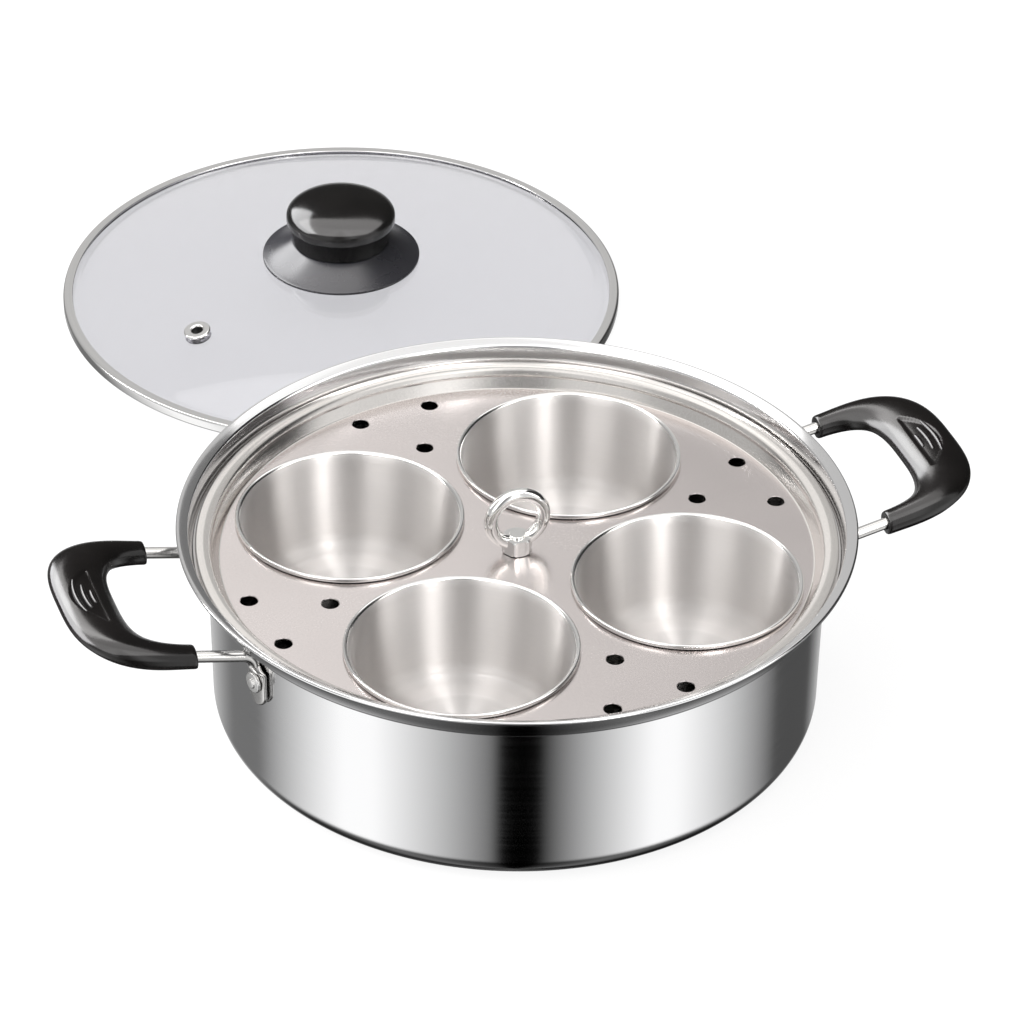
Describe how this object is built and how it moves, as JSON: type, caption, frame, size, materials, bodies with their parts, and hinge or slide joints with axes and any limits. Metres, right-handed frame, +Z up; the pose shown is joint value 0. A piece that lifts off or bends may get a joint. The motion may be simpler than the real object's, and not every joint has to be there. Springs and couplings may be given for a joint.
{
  "type": "steamer pot",
  "caption": "Shallow stainless steamer pot with riveted ear handles, a lift-out tray of poaching cups with a lifting eye, and a domed glass lid with a knob lying beside it.",
  "frame": {"origin": "middle of the pot's flat underside, on the table that the pot and the lid stand on", "axes": "+X along the handles to the right one in the picture, +Y back towards the lid, +Z up"},
  "size_m": [0.3682, 0.5687, 0.0985],
  "materials": {
    "pot_steel": "mirror-polished stainless sheet with fine turning lines",
    "bright_steel": "polished stainless",
    "tray_steel": "satin stainless sheet",
    "cup_steel": "brushed stainless, turned grain",
    "black_bakelite": "glossy black moulded phenolic",
    "grey_skirt": "dark grey semi-gloss moulding",
    "clear_glass": "clear toughened glass",
    "brass": "machined brass",
    "silicone": "matt translucent white silicone"
  },
  "bodies": {
    "pot": {"pot_body": "pot_steel", "handle_bracket_right": "bright_steel", "handle_bracket_left": "bright_steel", "handle_grip_right": "black_bakelite", "handle_grip_left": "black_bakelite", "handle_rivet_right_a": "bright_steel", "handle_rivet_right_b": "bright_steel", "handle_rivet_left_a": "bright_steel", "handle_rivet_left_b": "bright_steel"},
    "tray": {"steamer_tray": "tray_steel", "lifting_eye": "bright_steel", "eye_locknut": "bright_steel", "eye_washer": "bright_steel", "eye_nut": "bright_steel"},
    "cup_right": {"egg_cup_right": "cup_steel"},
    "cup_rear": {"egg_cup_rear": "cup_steel"},
    "cup_left": {"egg_cup_left": "cup_steel"},
    "cup_front": {"egg_cup_front": "cup_steel"},
    "lid": {"lid_glass": "clear_glass", "lid_rim_band": "bright_steel", "vent_eyelet": "bright_steel", "knob_skirt": "grey_skirt", "lid_knob": "black_bakelite", "knob_insert": "brass", "knob_seal": "silicone", "knob_screw": "bright_steel"}
  },
  "joints": [
    {"name": "tray_lift", "type": "slide", "parent": "pot", "child": "tray", "axis": [0, 0, 1], "range_m": [0, 0.12]},
    {"name": "cup_right_lift", "type": "slide", "parent": "tray", "child": "cup_right", "axis": [0, 0, 1], "range_m": [0, 0.08]},
    {"name": "cup_rear_lift", "type": "slide", "parent": "tray", "child": "cup_rear", "axis": [0, 0, 1], "range_m": [0, 0.08]},
    {"name": "cup_left_lift", "type": "slide", "parent": "tray", "child": "cup_left", "axis": [0, 0, 1], "range_m": [0, 0.08]},
    {"name": "cup_front_lift", "type": "slide", "parent": "tray", "child": "cup_front", "axis": [0, 0, 1], "range_m": [0, 0.08]},
    {"name": "lid_lift", "type": "slide", "parent": "pot", "child": "lid", "axis": [0, 0, 1], "range_m": [0, 0.12]}
  ]
}
